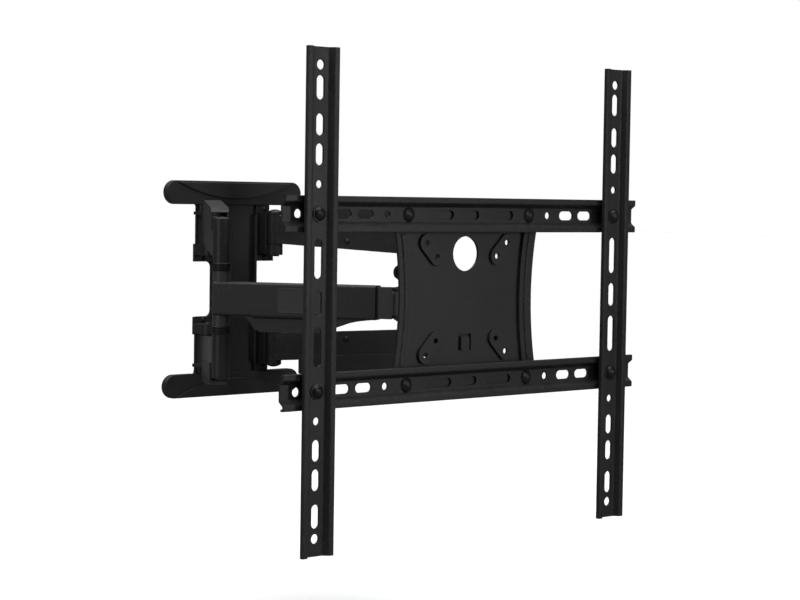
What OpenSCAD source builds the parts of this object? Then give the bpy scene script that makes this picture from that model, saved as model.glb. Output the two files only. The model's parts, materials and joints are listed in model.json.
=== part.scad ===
// Full motion TV wall mount: wall plate, two folding arm pairs, swivel yoke,
// tilting head and a four-rail television bracket.
// Frame: origin at the middle of the wall plate's back face, +X to the right
// seen from the room, +Y into the wall, +Z up. The arms stand half way out.

/* [Arm linkage] */
// Pivot to pivot length of every arm
arm_len = 173.2; // [150:0.1:200]
// Angle of the arms from straight out at rest
rest_angle = 32.86; // [28:0.01:40]
// Half the distance between the left and right pivots, at wall and yoke
pivot_x = 42; // [40:0.5:48]
// Wall pivot axis in front of the wall
wall_pivot_d = 19.5; // [18:0.5:24]
// Yoke pivot axis behind the television plane
yoke_setback = 56.5; // [54:0.5:64]
// Outer radius of every pivot barrel
barrel_r = 8.25; // [8:0.25:10]
// Radius of every vertical pivot pin
pin_r = 5; // [4:0.25:6]

/* [Rear arms] */
// Height of a rear arm tube
rear_h = 28; // [24:1:32]
// Width of a rear arm tube
rear_w = 14; // [10:1:16]
// Height of the middle of a rear arm at the wall
rear_z_wall = 60.8; // [56:0.1:64]
// Height of the middle of a rear arm at the elbow
rear_z_elbow = 50.9; // [50:0.1:56]
// Height of the outer end of the elbow barrels
elbow_top = 73; // [70:0.5:76]
// Depth of the cable cover along the outer edge of each rear arm
cover_drop = 17.5; // [8:0.5:20]

/* [Front arms] */
// Height of a front arm tube
front_h = 28.8; // [26:0.2:30]
// Width of a front arm tube
front_w = 12; // [10:0.5:14]
// Half height of the elbow barrel on the front arm
elbow_half = 25.4; // [24:0.1:27]
// Height of the sleeve round the front arm
sleeve_h = 31.2; // [30.8:0.1:34]
// Width of the sleeve round the front arm
sleeve_w = 18.6; // [18.4:0.1:20]
// Distance from the elbow at which the sleeve ends
sleeve_end = 151; // [140:1:156]

/* [Wall plate] */
// Half width of the wings
wing_x = 86; // [80:1:95]
// Height of a wing
wing_h = 24; // [23:0.5:27]
// Overall height of the wall plate
wall_h = 220; // [214:1:230]
// Half width of the middle column
column_x = 27; // [25:0.5:30]
// Half width of the shoulders that carry the brackets
shoulder_x = 46; // [44:0.5:50]
// Thickness of the wall plate
wall_t = 3; // [2.5:0.1:4]
// Depth of the wing covers in front of the wall
wing_cover_d = 10; // [9:0.5:12]

/* [Television bracket] */
// Length of a vertical rail
vertical_len = 430; // [420:1:450]
// Length of a horizontal rail
horizontal_len = 434; // [420:1:450]
// Width of a vertical rail
vertical_w = 34; // [32:1:38]
// Width of a horizontal rail
horizontal_w = 31; // [29:1:33]
// Half the distance between the vertical rails
rail_x = 183; // [176:1:186]
// Height of the middle of the bracket above the middle of the arms
tv_rise = 6; // [0:0.5:10]
// Sheet thickness of the rails
rail_t = 2; // [1.5:0.1:2.5]
// Depth of a rail's web behind its lips
rail_step = 5; // [4:0.5:6]
// Half width of the centre plate at its top and bottom
plate_x = 87.5; // [84:0.5:90]
// Depth of the hollow in each side of the centre plate
plate_waist = 5.5; // [3:0.5:8]
// Thickness of the centre plate
plate_t = 2.5; // [2:0.1:3]
// Depth to which the middle of the centre plate is pressed back
dish_depth = 3; // [2:0.1:3.5]

/* [Head] */
// Tilt axis behind the television plane
tilt_setback = 31; // [30:0.5:32]
// Tilt axis above the middle of the arms
tilt_z = 29.5; // [28:0.5:32]
// Swivel axis behind the television plane
swivel_setback = 48.5; // [48:0.5:49]
// Half width of the tilt bracket across its ears
head_x = 60; // [56:0.5:62]

/* [Hidden] */

$fn = 64;
left = -1;
right = 1;
steel = [0.16, 0.16, 0.17];
plastic = [0.10, 0.10, 0.11];
zinc = [0.32, 0.32, 0.34];
nylon = [0.07, 0.07, 0.07];

gap = 0.3;                 // between faces of pieces that move past each other
run = 0.05;                // radial clearance of a running pin
open_run = 0.3;            // radial clearance at the opened right yoke pivot
snug = 0.02;               // radial clearance of a pin that stands still
cut = 60;                  // long enough for any drilled hole
tube_wall = 2;

elbow_x = pivot_x + arm_len * sin(rest_angle);
elbow_d = wall_pivot_d + arm_len * cos(rest_angle);
yoke_d = wall_pivot_d + 2 * arm_len * cos(rest_angle);
tv_y = -(yoke_d + yoke_setback);
yoke_y = tv_y + yoke_setback;
swivel_y = tv_y + swivel_setback;
tilt_y = tv_y + tilt_setback;

rear_barrel_h = rear_h + 1;
weld_in = 4.3;             // an arm's tube starts this far from a pivot axis
wall_lug_in = rear_z_wall - rear_barrel_h / 2 - gap;
wall_lug_out = rear_z_wall + rear_barrel_h / 2 + gap;
lug_t = 3.2;
block_h = 10.5;            // height of the lower lug of a bracket
washer_t = 0.8;
bracket_t = 3;
bracket_low = 28;
bracket_high = 85.5;
bracket_x = 50.6;
bracket_rivet_x = 39;
bracket_rivet_z = [31.4, 82.2];
bracket_rivet_r = 1.8;
bush_r = barrel_r + 0.75;
bush_in = elbow_half + gap;
bush_out = 33;
plug_r = 2;

wing_z = (wall_h - wing_h) / 2;
wing_r = wing_h / 2;
wall_slot_x = 65;
wall_slot_len = 20;
wall_hole_r = 3.5;
shoulder_fill_r = 4;       // curve in the corner between shoulder and wing

edge_flange = 4.5;         // depth of the turned edge along each rail
rail_z = 75;               // half the distance between the horizontal rails
horizontal_y = tv_y + rail_step + rail_t;
plate_y = horizontal_y + rail_step + rail_t;
dish_y = plate_y + dish_depth;
plate_half_h = rail_z + horizontal_w / 2;
between_rails = rail_z - horizontal_w / 2;
waist_r = (between_rails * between_rails + plate_waist * plate_waist) / (2 * plate_waist);
waist_centre = plate_x - plate_waist + waist_r;
dish_margin = 13;          // from the centre plate's hollow side to its pressed middle
dish_half_h = 66;
hook_z = -40;              // middle of the hook pocket, below the bracket's middle
rail_rivet_r = 4;
rail_bolt_r = 3;
rail_washer_t = 1.2;
friction_t = 1.2;
bush_wall = 1.5;           // wall of the swivel bushes
flange_x = head_x + friction_t + gap;
flange_t = 2.5;
ear_t = 3;
tilt_r = 4;
ear_r = 8;
nut_room = 8.5;            // width of the notch beside each tilt ear
head_low = -36;            // lower edge of the tilt bracket
swivel_wall_y = tv_y + 30; // front face of the tilt bracket's wall
swivel_wall_t = 3;
yoke_barrel_half = 10.8;   // half height of a front arm's barrel inside the yoke
yoke_washer_t = 0.5;
yoke_half = yoke_barrel_half + gap + yoke_washer_t;
yoke_t = 2.5;
yoke_r = 7.5;              // radius of a yoke lug
knuckle = yoke_half - 1.3; // half height of the swivel barrel

// ---------- shared shapes ----------

// Flat shape with round ends, along X.
module obround(length, radius) {
  square([length - 2 * radius, 2 * radius], center = true);
  for (s = [-1, 1]) translate([s * (length / 2 - radius), 0]) circle(r = radius);
}

// Flat rectangle with round corners.
module round_rect(width, height, radius) {
  square([width - 2 * radius, height], center = true);
  square([width, height - 2 * radius], center = true);
  for (sx = [-1, 1], sy = [-1, 1])
    translate([sx * (width / 2 - radius), sy * (height / 2 - radius)]) circle(r = radius);
}

// A flat X-Z drawing made solid, from distance d0 to d1 in front of the wall.
module slab(d0, d1) {
  translate([0, -d0, 0]) rotate([90, 0, 0]) linear_extrude(height = d1 - d0) children();
}

// Round-ended slot through Y, along X or along Z.
module slot_through(length, radius, upright = false) {
  rotate([0, upright ? 90 : 0, 0]) rotate([90, 0, 0])
    linear_extrude(height = cut, center = true) obround(length, radius);
}

module hole_through(radius) {
  rotate([90, 0, 0]) cylinder(r = radius, h = cut, center = true);
}

// Cylinder along X from x0 to x1, at its place in Y and Z.
module bar_x(x0, x1, y, z, radius, sides = 64) {
  translate([x0, y, z]) rotate([0, 90, 0]) cylinder(r = radius, h = x1 - x0, $fn = sides);
}

// Upright tube.
module barrel(z0, z1, outer, inner) {
  translate([0, 0, z0]) difference() {
    cylinder(r = outer, h = z1 - z0);
    translate([0, 0, -1]) cylinder(r = inner, h = z1 - z0 + 2);
  }
}

// Low round dome of a screw or rivet head that rises along +Z.
module dome(radius, rise) {
  ball = (radius * radius + rise * rise) / (2 * rise);
  intersection() {
    translate([0, 0, rise - ball]) sphere(r = ball);
    cylinder(r = radius, h = rise);
  }
}

// The right hand child, or its mirror image on the left.
module on_side(side) {
  mirror([side == left ? 1 : 0, 0, 0]) children();
}

// The upper child, or its mirror image below.
module on_level(level) {
  mirror([0, 0, level < 0 ? 1 : 0]) children();
}

// Local frame of a rear arm: +X runs from the wall pivot to the elbow.
module rear_frame(side) {
  on_side(side) translate([pivot_x, -wall_pivot_d, 0]) rotate([0, 0, rest_angle - 90]) children();
}

// Local frame of a front arm: +X runs from the elbow to the yoke pivot.
module front_frame(side) {
  on_side(side) translate([elbow_x, -elbow_d, 0]) rotate([0, 0, -90 - rest_angle]) children();
}

module elbow_frame(side) {
  on_side(side) translate([elbow_x, -elbow_d, 0]) children();
}

// ---------- wall side ----------

// Fills the inner corner at the origin with a curve, towards the given signs.
module corner_fill(sx, sz, radius) {
  difference() {
    translate([sx * radius / 2, sz * radius / 2]) square(radius, center = true);
    translate([sx * radius, sz * radius]) circle(r = radius);
  }
}

module wall_outline() {
  wing_edge = wing_z - wing_r + 1;
  round_rect(2 * column_x, wall_h - 2, 3);
  for (level = [-1, 1]) {
    translate([0, level * wing_z]) obround(2 * wing_x - 2, wing_r - 1);
    translate([0, level * (bracket_low + wing_z) / 2])
      round_rect(2 * shoulder_x, wing_z - bracket_low, 2);
    for (sx = [-1, 1]) {
      translate([sx * shoulder_x, level * wing_edge]) corner_fill(sx, -level, shoulder_fill_r);
      translate([sx * column_x, level * bracket_low]) corner_fill(sx, -level, 6);
    }
  }
}

module wall_plate() {
  rib_w = 2.5;
  rib_front = 9;
  rib_half_h = 76;
  small_hole_x = 30;
  small_hole_r = 2.5;
  middle_slot_len = 22;
  color(steel) difference() {
    union() {
      slab(0, wall_t) wall_outline();
      // stiffening ribs down both edges of the column
      for (sx = [-1, 1]) translate([sx * (column_x - rib_w / 2) - rib_w / 2, -rib_front, -rib_half_h])
        cube([rib_w, rib_front - 1, 2 * rib_half_h]);
    }
    for (sx = [-1, 1], level = [-1, 1]) {
      translate([sx * wall_slot_x, 0, level * wing_z]) slot_through(wall_slot_len, wall_hole_r);
      translate([sx * small_hole_x, 0, level * wing_z]) hole_through(small_hole_r);
    }
    for (level = [-1, 1])
      translate([0, 0, level * wing_z]) slot_through(middle_slot_len, wall_hole_r);
    at_bracket_rivets() cylinder(r = bracket_rivet_r + snug, h = cut, center = true);
  }
}

// Clip-on shell over one wing, with a raised crescent along its outer edge.
module wing_cover(level) {
  shell = 2;
  rim = 0.8;
  crescent_r = 170;
  crescent_w = 18;
  crescent_rise = 2.5;
  top_y = wing_cover_d - crescent_rise;
  notch_x = shoulder_x + shoulder_fill_r + 0.5;
  color(plastic) on_level(level) difference() {
    union() {
      slab(0.2, top_y) translate([0, wing_z]) obround(2 * wing_x, wing_r);
      slab(top_y - 0.5, wing_cover_d) intersection() {
        translate([0, wing_z]) obround(2 * wing_x - 4, wing_r - 1.5);
        translate([0, wing_z + wing_r - crescent_w + crescent_r]) circle(r = crescent_r, $fn = 180);
      }
    }
    slab(-1, top_y - shell) translate([0, wing_z]) obround(2 * (wing_x - rim), wing_r - rim);
    // room for the shoulders where they run under the rim
    translate([-notch_x, -wall_t - 0.2, wing_z - wing_r - 1]) cube([2 * notch_x, 10, 4]);
  }
}

// Steel bracket with two lugs that hold one wall pin.
module wall_bracket(side, level) {
  inner_x = column_x + 0.4;
  web_t = 2.5;
  web_y = wall_pivot_d - 2;
  spine_y = wall_pivot_d - barrel_r - 2 * gap;
  block_low = wall_lug_in - washer_t - block_h;
  top = wall_lug_out + lug_t;
  lugs = [[block_low, wall_lug_in - washer_t], [wall_lug_out, top]];
  color(steel) difference() {
    on_side(side) on_level(level) union() {
      translate([inner_x, -wall_t - bracket_t, bracket_low])
        cube([bracket_x - inner_x, bracket_t, wall_lug_in - bracket_low]);
      translate([inner_x, -wall_t - bracket_t, wall_lug_in - 1])
        cube([shoulder_x - 1 - inner_x, bracket_t, bracket_high - wall_lug_in + 1]);
      for (z = lugs) translate([0, 0, z[0]]) linear_extrude(height = z[1] - z[0]) {
        translate([pivot_x, -wall_pivot_d]) circle(r = barrel_r);
        translate([pivot_x - barrel_r, -wall_pivot_d])
          square([bracket_x - pivot_x + barrel_r, wall_pivot_d - wall_t - 0.5]);
      }
      // spine behind the arm's barrel, and a web on its inner side
      translate([pivot_x - barrel_r, -spine_y, block_low])
        cube([shoulder_x - 1 - pivot_x + barrel_r, spine_y - wall_t - 0.5, top - block_low]);
      translate([pivot_x - barrel_r - web_t - gap, -web_y, bracket_low + 8])
        cube([web_t, web_y - wall_t - 0.5, top - bracket_low - 8]);
      // bridge from the web to the spine
      translate([pivot_x - barrel_r - 1, -spine_y, block_low])
        cube([2, spine_y - wall_t - 0.5, top - block_low]);
    }
    on_side(side) on_level(level) translate([pivot_x, -wall_pivot_d, 0])
      cylinder(r = pin_r + snug, h = 100);
    at_bracket_rivets() cylinder(r = bracket_rivet_r + snug, h = cut, center = true);
  }
}

// Places of the rivets that hold the brackets to the wall plate, with +Z to the room.
module at_bracket_rivets() {
  for (sx = [-1, 1], level = [-1, 1], z = bracket_rivet_z)
    translate([sx * bracket_rivet_x, -wall_t - bracket_t, level * z]) rotate([90, 0, 0]) children();
}

module bracket_rivets() {
  color(zinc) at_bracket_rivets() {
    translate([0, 0, -bracket_t - wall_t]) cylinder(r = bracket_rivet_r, h = bracket_t + wall_t);
    dome(bracket_rivet_r + 1, 1.4);
  }
}

module wall_pins() {
  low = wall_lug_in - washer_t - block_h - 1.5;
  high = wall_lug_out + lug_t;
  color(zinc) for (side = [left, right], level = [-1, 1]) on_side(side) on_level(level)
    translate([pivot_x, -wall_pivot_d, 0]) {
      translate([0, 0, low]) cylinder(r = pin_r, h = high - low);
      translate([0, 0, high]) dome(pin_r + 2.6, 3);
    }
}

module wall_washers() {
  color(nylon) for (side = [left, right], level = [-1, 1]) on_side(side) on_level(level)
    translate([pivot_x, -wall_pivot_d, 0])
      barrel(wall_lug_in - washer_t, wall_lug_in, barrel_r - 0.2, pin_r + snug);
}

// ---------- rear arms ----------

// Height of the middle of a rear arm at a distance from the wall pivot.
function rear_mid(s) = rear_z_wall + (rear_z_elbow - rear_z_wall) * s / arm_len;

// Side outline of a rear arm between two distances, inset by a wall thickness.
module rear_outline(s0, s1, inset, extra = 0) {
  half = rear_h / 2 - inset;
  polygon([
    [s0, rear_mid(s0) - half], [s1, rear_mid(s1) - half],
    [s1, rear_mid(s1) + half + extra], [s0, rear_mid(s0) + half + extra]
  ]);
}

module across(width) {
  rotate([90, 0, 0]) linear_extrude(height = width, center = true) children();
}

// Place of the plug in a rear arm's inner face.
module at_arm_plug() {
  translate([arm_len * 0.466, -rear_w / 2, rear_z_elbow - 0.8]) rotate([90, 0, 0]) children();
}

// Domed plugs that close the weld holes of the two rear arms.
module arm_plugs(side) {
  color(zinc) rear_frame(side) for (level = [-1, 1]) on_level(level) at_arm_plug() {
    translate([0, 0, -tube_wall]) cylinder(r = plug_r, h = tube_wall);
    dome(plug_r + 1.2, 1.2);
  }
}

module rear_arm(side, level) {
  low = rear_z_wall - rear_barrel_h / 2;
  color(steel) rear_frame(side) on_level(level) difference() {
    union() {
      barrel(low, low + rear_barrel_h, barrel_r, pin_r + run);
      translate([arm_len, 0, 0]) barrel(bush_out, elbow_top, barrel_r, pin_r + snug);
      across(rear_w) rear_outline(weld_in, arm_len - weld_in, 0);
    }
    across(rear_w - 2 * tube_wall) rear_outline(barrel_r + 1, arm_len - barrel_r - 1, tube_wall);
    cylinder(r = pin_r + run, h = 100);
    translate([arm_len, 0, 0]) cylinder(r = pin_r + snug, h = 100);
    at_arm_plug() cylinder(r = plug_r + snug, h = 2 * tube_wall + 2, center = true);
  }
}

module elbow_pin(side) {
  color(zinc) elbow_frame(side) translate([0, 0, -elbow_top]) cylinder(r = pin_r, h = 2 * elbow_top);
}

module elbow_bushes(side) {
  color(nylon) elbow_frame(side) for (level = [-1, 1]) on_level(level) {
    barrel(bush_in, bush_out, bush_r, pin_r + snug);
  }
}

module elbow_caps(side) {
  color(plastic) elbow_frame(side) for (level = [-1, 1]) on_level(level) translate([0, 0, elbow_top]) {
    cylinder(r = barrel_r - 0.2, h = 1.2);
    translate([0, 0, 1.2]) dome(barrel_r - 1.2, 1.6);
  }
}

// Side outline of a cable cover with sloping ends. Low is its reach down the arm's side.
module cover_outline(s0, s1, low, skin) {
  half = rear_h / 2;
  top = half + cover_drop - skin;
  slope_len = 8;
  slope_drop = 4;
  polygon([
    [s0, rear_mid(s0) + half - low], [s1, rear_mid(s1) + half - low],
    [s1, rear_mid(s1) + top - slope_drop], [s1 - slope_len, rear_mid(s1) + top],
    [s0 + slope_len, rear_mid(s0) + top], [s0, rear_mid(s0) + top - slope_drop]
  ]);
}

// Clip-on trough along the outer edge of a rear arm that hides the television's cables.
module cable_cover(side, level) {
  s0 = 30;
  s1 = arm_len - 28;
  skin = 1.5;
  lap = 4;                   // how far the trough laps over the arm's sides
  color(plastic) rear_frame(side) on_level(level) difference() {
    across(rear_w + 2 * skin) cover_outline(s0, s1, lap, 0);
    across(rear_w) rear_outline(s0 - 1, s1 + 1, 0);
    // the cable channel, open at both ends
    across(rear_w - 1) cover_outline(s0 - 1, s1 + 1, 1, skin);
  }
}

// ---------- front arms ----------

module front_arm(side) {
  yoke_clear = side == right ? open_run : run;
  color(steel) front_frame(side) difference() {
    union() {
      barrel(-elbow_half, elbow_half, barrel_r, pin_r + run);
      translate([arm_len, 0, 0])
        barrel(-yoke_barrel_half, yoke_barrel_half, barrel_r, pin_r + yoke_clear);
      translate([weld_in, -front_w / 2, -front_h / 2]) cube([arm_len - 2 * weld_in, front_w, front_h]);
    }
    translate([barrel_r + 1, -front_w / 2 + tube_wall, -front_h / 2 + tube_wall])
      cube([arm_len - 2 * barrel_r - 2, front_w - 2 * tube_wall, front_h - 2 * tube_wall]);
    cylinder(r = pin_r + run, h = cut, center = true);
    translate([arm_len, 0, 0]) cylinder(r = pin_r + yoke_clear, h = cut, center = true);
    // room for the yoke's lugs above and below the barrel
    for (level = [-1, 1]) on_level(level) translate([arm_len, 0, yoke_barrel_half])
      cylinder(r = yoke_r + 1.8, h = front_h);
    // weld drain hole in the underside
    translate([arm_len - 16, 0, -cut / 2]) cylinder(r = 1.5, h = cut / 2);
  }
}

module sleeve_section(grow) {
  round_rect(sleeve_h + 2 * grow, sleeve_w + 2 * grow, 2.2 + grow);
}

// A section drawn across a front arm, made solid between two distances.
module along(s0, s1) {
  translate([s0, 0, 0]) rotate([0, 90, 0]) linear_extrude(height = s1 - s0) children();
}

// Moulded sleeve. Its sides hug the elbow barrel, and cables can run beside the tube.
module arm_sleeve(side) {
  cheek_start = -4.8;
  side_wall = 1.8;
  color(plastic) front_frame(side) difference() {
    along(cheek_start, sleeve_end) sleeve_section(0);
    along(cheek_start - 1, arm_len) square([front_h, front_w], center = true);
    along(barrel_r + 2, sleeve_end + 1) square([front_h, sleeve_w - 2 * side_wall], center = true);
    cylinder(r = barrel_r + snug, h = cut, center = true);
  }
}

// Snap-on clip with a belly below the arm for the cables.
module cable_clip(side) {
  s0 = 26;
  s1 = 147;
  skin = 1.4;
  grip = [34, 112];          // where the clip holds the sleeve's sides
  grip_h = 4;
  width = sleeve_w - 3;
  base = -sleeve_h / 2;
  deep = 14;
  // distance along the arm, and depth below the sleeve there
  belly = [[s0, -1], [s0 + 9, 11], [s0 + 15, deep], [91, deep], [101, 11.6], [111, 8.4],
    [122, 4.4], [134, 1.6], [s1, 0], [s1, -1]];
  channel = [[124, -1], [s0 - 1, -1], [s0 - 1, skin], [s0 + 2, skin], [s0 + 10, 11 - skin],
    [s0 + 16, deep - skin], [91, deep - skin], [100, 11.6 - skin], [110, 8.4 - skin], [120, 3.2]];
  color(plastic) front_frame(side) difference() {
    union() {
      along(grip[0], grip[1]) intersection() {
        sleeve_section(skin);
        translate([sleeve_h / 2 - grip_h, -sleeve_w]) square([grip_h + skin, 2 * sleeve_w]);
      }
      across(width) polygon([for (p = belly) [p[0], base - p[1]]]);
    }
    along(s0 - 1, s1 + 1) sleeve_section(0);
    across(width - 2 * skin) polygon([for (p = channel) [p[0], base - p[1]]]);
  }
}

// Blank plate on the outer face of the sleeve.
module face_plate(side) {
  s0 = 58;
  s1 = 101;
  height = 23;
  color(zinc) front_frame(side) translate([(s0 + s1) / 2, sleeve_w / 2, 0]) rotate([-90, 0, 0])
    linear_extrude(height = 0.6) round_rect(s1 - s0, height, 1.5);
}

// ---------- yoke ----------

// Plan of a yoke plate: three round lugs joined along their tangents.
module yoke_plan() {
  reach = yoke_setback - swivel_setback;
  lean = atan2(reach, pivot_x);
  tx = yoke_r * sin(lean);
  ty = yoke_r * cos(lean);
  for (sx = [-1, 1]) translate([sx * pivot_x, 0]) circle(r = yoke_r);
  translate([0, -reach]) circle(r = yoke_r);
  polygon([
    [-pivot_x, yoke_r], [pivot_x, yoke_r], [pivot_x + tx, -ty], [tx, -reach - ty],
    [-tx, -reach - ty], [-pivot_x - tx, -ty]
  ]);
}

module yoke() {
  web_x = 27;
  web_t = 3;
  color(steel) difference() {
    union() {
      for (level = [-1, 1]) on_level(level) translate([0, yoke_y, yoke_half])
        linear_extrude(height = yoke_t) yoke_plan();
      translate([-web_x, yoke_y + yoke_r - web_t, -yoke_half - 0.1])
        cube([2 * web_x, web_t, 2 * yoke_half + 0.2]);
    }
    for (sx = [-1, 1]) translate([sx * pivot_x, yoke_y, 0])
      cylinder(r = pin_r + snug, h = cut, center = true);
    translate([0, swivel_y, 0]) cylinder(r = pin_r + snug, h = cut, center = true);
    translate([0, yoke_y + yoke_r, 0]) slot_through(26, 6);
  }
}

module headed_pin(y) {
  top = yoke_half + yoke_t;
  translate([0, y, 0]) {
    translate([0, 0, -top - 2]) cylinder(r = pin_r, h = 2 * top + 2);
    translate([0, 0, top]) dome(pin_r + 1.6, 1.4);
    // retaining ring near the lower end
    translate([0, 0, -top - 1.2]) cylinder(r = pin_r + 1.6, h = 1);
  }
}

module yoke_pins() {
  color(zinc) for (sx = [-1, 1]) translate([sx * pivot_x, 0, 0]) headed_pin(yoke_y);
}

module swivel_pin() {
  color(zinc) headed_pin(swivel_y);
}

module yoke_washers() {
  color(nylon) for (sx = [-1, 1], level = [-1, 1]) translate([sx * pivot_x, yoke_y, 0]) on_level(level)
    barrel(yoke_half - yoke_washer_t, yoke_half, yoke_r, pin_r + snug);
}

// ---------- tilting head ----------

module ear_outline(grow) {
  translate([tilt_y, tilt_z]) circle(r = ear_r + grow);
}

// A Y-Z drawing made solid between x0 and x1.
module side_slab(x0, x1) {
  translate([x0, 0, 0]) rotate([90, 0, 90]) linear_extrude(height = x1 - x0) children();
}

module tilt_bracket() {
  wall_high = tilt_z + ear_r;
  wall_back = swivel_wall_y + swivel_wall_t;
  side_front = tilt_y - 5;
  lip = 2.5;
  middle_high = 26;
  middle_x = 32;
  hook_room_x = 14;
  hook_room_z = -20;
  corner = 6;
  color(steel) difference() {
    union() {
      translate([-head_x, swivel_wall_y, head_low]) cube([2 * head_x, swivel_wall_t, wall_high - head_low]);
      for (side = [left, right]) on_side(side) side_slab(head_x - ear_t, head_x) {
        ear_outline(0);
        translate([tilt_y, tilt_z]) square([wall_back - tilt_y, ear_r]);
        translate([side_front, 0]) square([wall_back - side_front, tilt_z]);
      }
      translate([0, swivel_y, 0]) barrel(-knuckle, knuckle, barrel_r, pin_r + bush_wall + snug);
      for (sx = [-1, 1]) translate([sx * 6 - 1.5, swivel_wall_y + 1, -knuckle])
        cube([3, swivel_y - swivel_wall_y - 6, 2 * knuckle]);
      // folded edge that stiffens the top of the wall
      translate([-head_x + ear_t, swivel_wall_y - 5, wall_high - lip]) cube([2 * (head_x - ear_t), 6, lip]);
    }
    translate([0, swivel_y, 0]) cylinder(r = pin_r + bush_wall + snug, h = cut, center = true);
    for (side = [left, right]) on_side(side) {
      bar_x(head_x - ear_t - 1, head_x + 1, tilt_y, tilt_z, tilt_r + snug);
      translate([34, swivel_wall_y, 8]) slot_through(24, 8);
      // room for the nut and a spanner
      translate([head_x - ear_t - nut_room, swivel_wall_y - 10, tilt_z - ear_r - 0.5])
        cube([nut_room, 20, 2 * ear_r + 1]);
      // low middle, clear of the cable hole in the plate in front
      translate([-1, swivel_wall_y - 10, middle_high]) cube([middle_x + 1, 20, 20]);
      // room for the hook pocket of the centre plate
      translate([-1, swivel_wall_y - 10, head_low - 1])
        cube([hook_room_x + 1, 20, hook_room_z - head_low + 1]);
      // slanted lower corner
      translate([head_x, swivel_wall_y, head_low]) rotate([0, 45, 0])
        cube([corner * sqrt(2), 40, corner * sqrt(2)], center = true);
    }
  }
}

// Plastic bushes pressed into the swivel barrel.
module swivel_bushes() {
  color(nylon) for (level = [-1, 1]) on_level(level) translate([0, swivel_y, 0]) {
    barrel(knuckle - 9, knuckle, pin_r + bush_wall, pin_r + run);
    barrel(knuckle, knuckle + 0.7, barrel_r - 0.5, pin_r + run);
  }
}

module tilt_bolts() {
  head_from = flange_x + flange_t + gap;
  color(zinc) for (side = [left, right]) on_side(side) {
    bar_x(head_x - ear_t - 7, head_from, tilt_y, tilt_z, tilt_r);
    translate([head_from, tilt_y, tilt_z]) rotate([0, 90, 0]) {
      cylinder(r = 8, h = 1.4);
      translate([0, 0, 1.4]) difference() {
        cylinder(r = 6.2, h = 4.6);
        translate([0, 0, 1.6]) cylinder(r = 3, h = 5, $fn = 6);
      }
    }
  }
}

module tilt_nuts() {
  inner = head_x - ear_t;
  color(zinc) for (side = [left, right]) on_side(side) difference() {
    bar_x(inner - 6, inner, tilt_y, tilt_z, 7.2, 6);
    bar_x(inner - 7, inner + 1, tilt_y, tilt_z, tilt_r + snug);
  }
}

module friction_washers() {
  color(nylon) for (side = [left, right]) on_side(side) difference() {
    bar_x(head_x, head_x + friction_t, tilt_y, tilt_z, ear_r - 0.4);
    bar_x(head_x - 1, head_x + 3, tilt_y, tilt_z, tilt_r + snug);
  }
}

// ---------- television bracket ----------

// Cross-section of a rail: a web behind two raised lips with turned edges.
module rail_profile(width) {
  half = width / 2;
  lip = half - 5.2;
  web = half - 8.8;
  back = rail_step + rail_t;
  slant = 0.9;
  points = [
    [web, rail_step], [lip, 0], [half, 0], [half, edge_flange], [half - rail_t, edge_flange],
    [half - rail_t, rail_t], [lip + slant, rail_t], [web + slant, back]
  ];
  polygon(concat(points, [for (i = [len(points) - 1:-1:0]) [-points[i][0], points[i][1]]]));
}

// Slots along a rail: distance from the middle and end-to-end length.
rail_slots = [[150, 18.5], [125, 18.5], [37.4, 34]];
vertical_end_slot = [181, 20.6];
horizontal_end_slot = [rail_x, 13];

module rail_holes(radius, end_slot) {
  for (s = [-1, 1]) {
    for (slot = concat([end_slot], rail_slots))
      translate([s * slot[0], 0, 0]) slot_through(slot[1], radius);
    translate([s * 200, 0, 0]) hole_through(radius);
    translate([s * 100, 0, 0]) hole_through(radius - 0.8);
    translate([s * 75, 0, 0]) hole_through(rail_rivet_r + snug);
  }
  slot_through(22, radius);
}

module horizontal_rail(level) {
  color(steel) translate([0, horizontal_y, tv_rise + level * rail_z]) difference() {
    rotate([0, 90, 0]) linear_extrude(height = horizontal_len, center = true) rail_profile(horizontal_w);
    rail_holes(4.1, horizontal_end_slot);
  }
}

module vertical_rail(side) {
  color(steel) translate([side * rail_x, tv_y, tv_rise]) difference() {
    linear_extrude(height = vertical_len, center = true) rail_profile(vertical_w);
    rotate([0, 90, 0]) rail_holes(4.25, vertical_end_slot);
  }
}

// Children in all four quarters of an X-Z drawing or solid.
module quarters() {
  for (sx = [0, 1], sz = [0, 1]) mirror([sx, 0, 0]) mirror([0, 0, sz]) children();
}

// Round-ended pad that holds one corner hole of each VESA square.
module vesa_pad(radius) {
  translate([43.75, 43.75]) rotate(45) obround(12.5 * sqrt(2) + 2 * radius, radius);
}

// The pressed middle of the centre plate, inset from its edge.
module dish_outline(inset) {
  difference() {
    square([2 * plate_x, 2 * (dish_half_h - inset)], center = true);
    for (s = [-1, 1]) translate([s * waist_centre, 0])
      circle(r = waist_r + dish_margin + inset, $fn = 240);
  }
}

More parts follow.
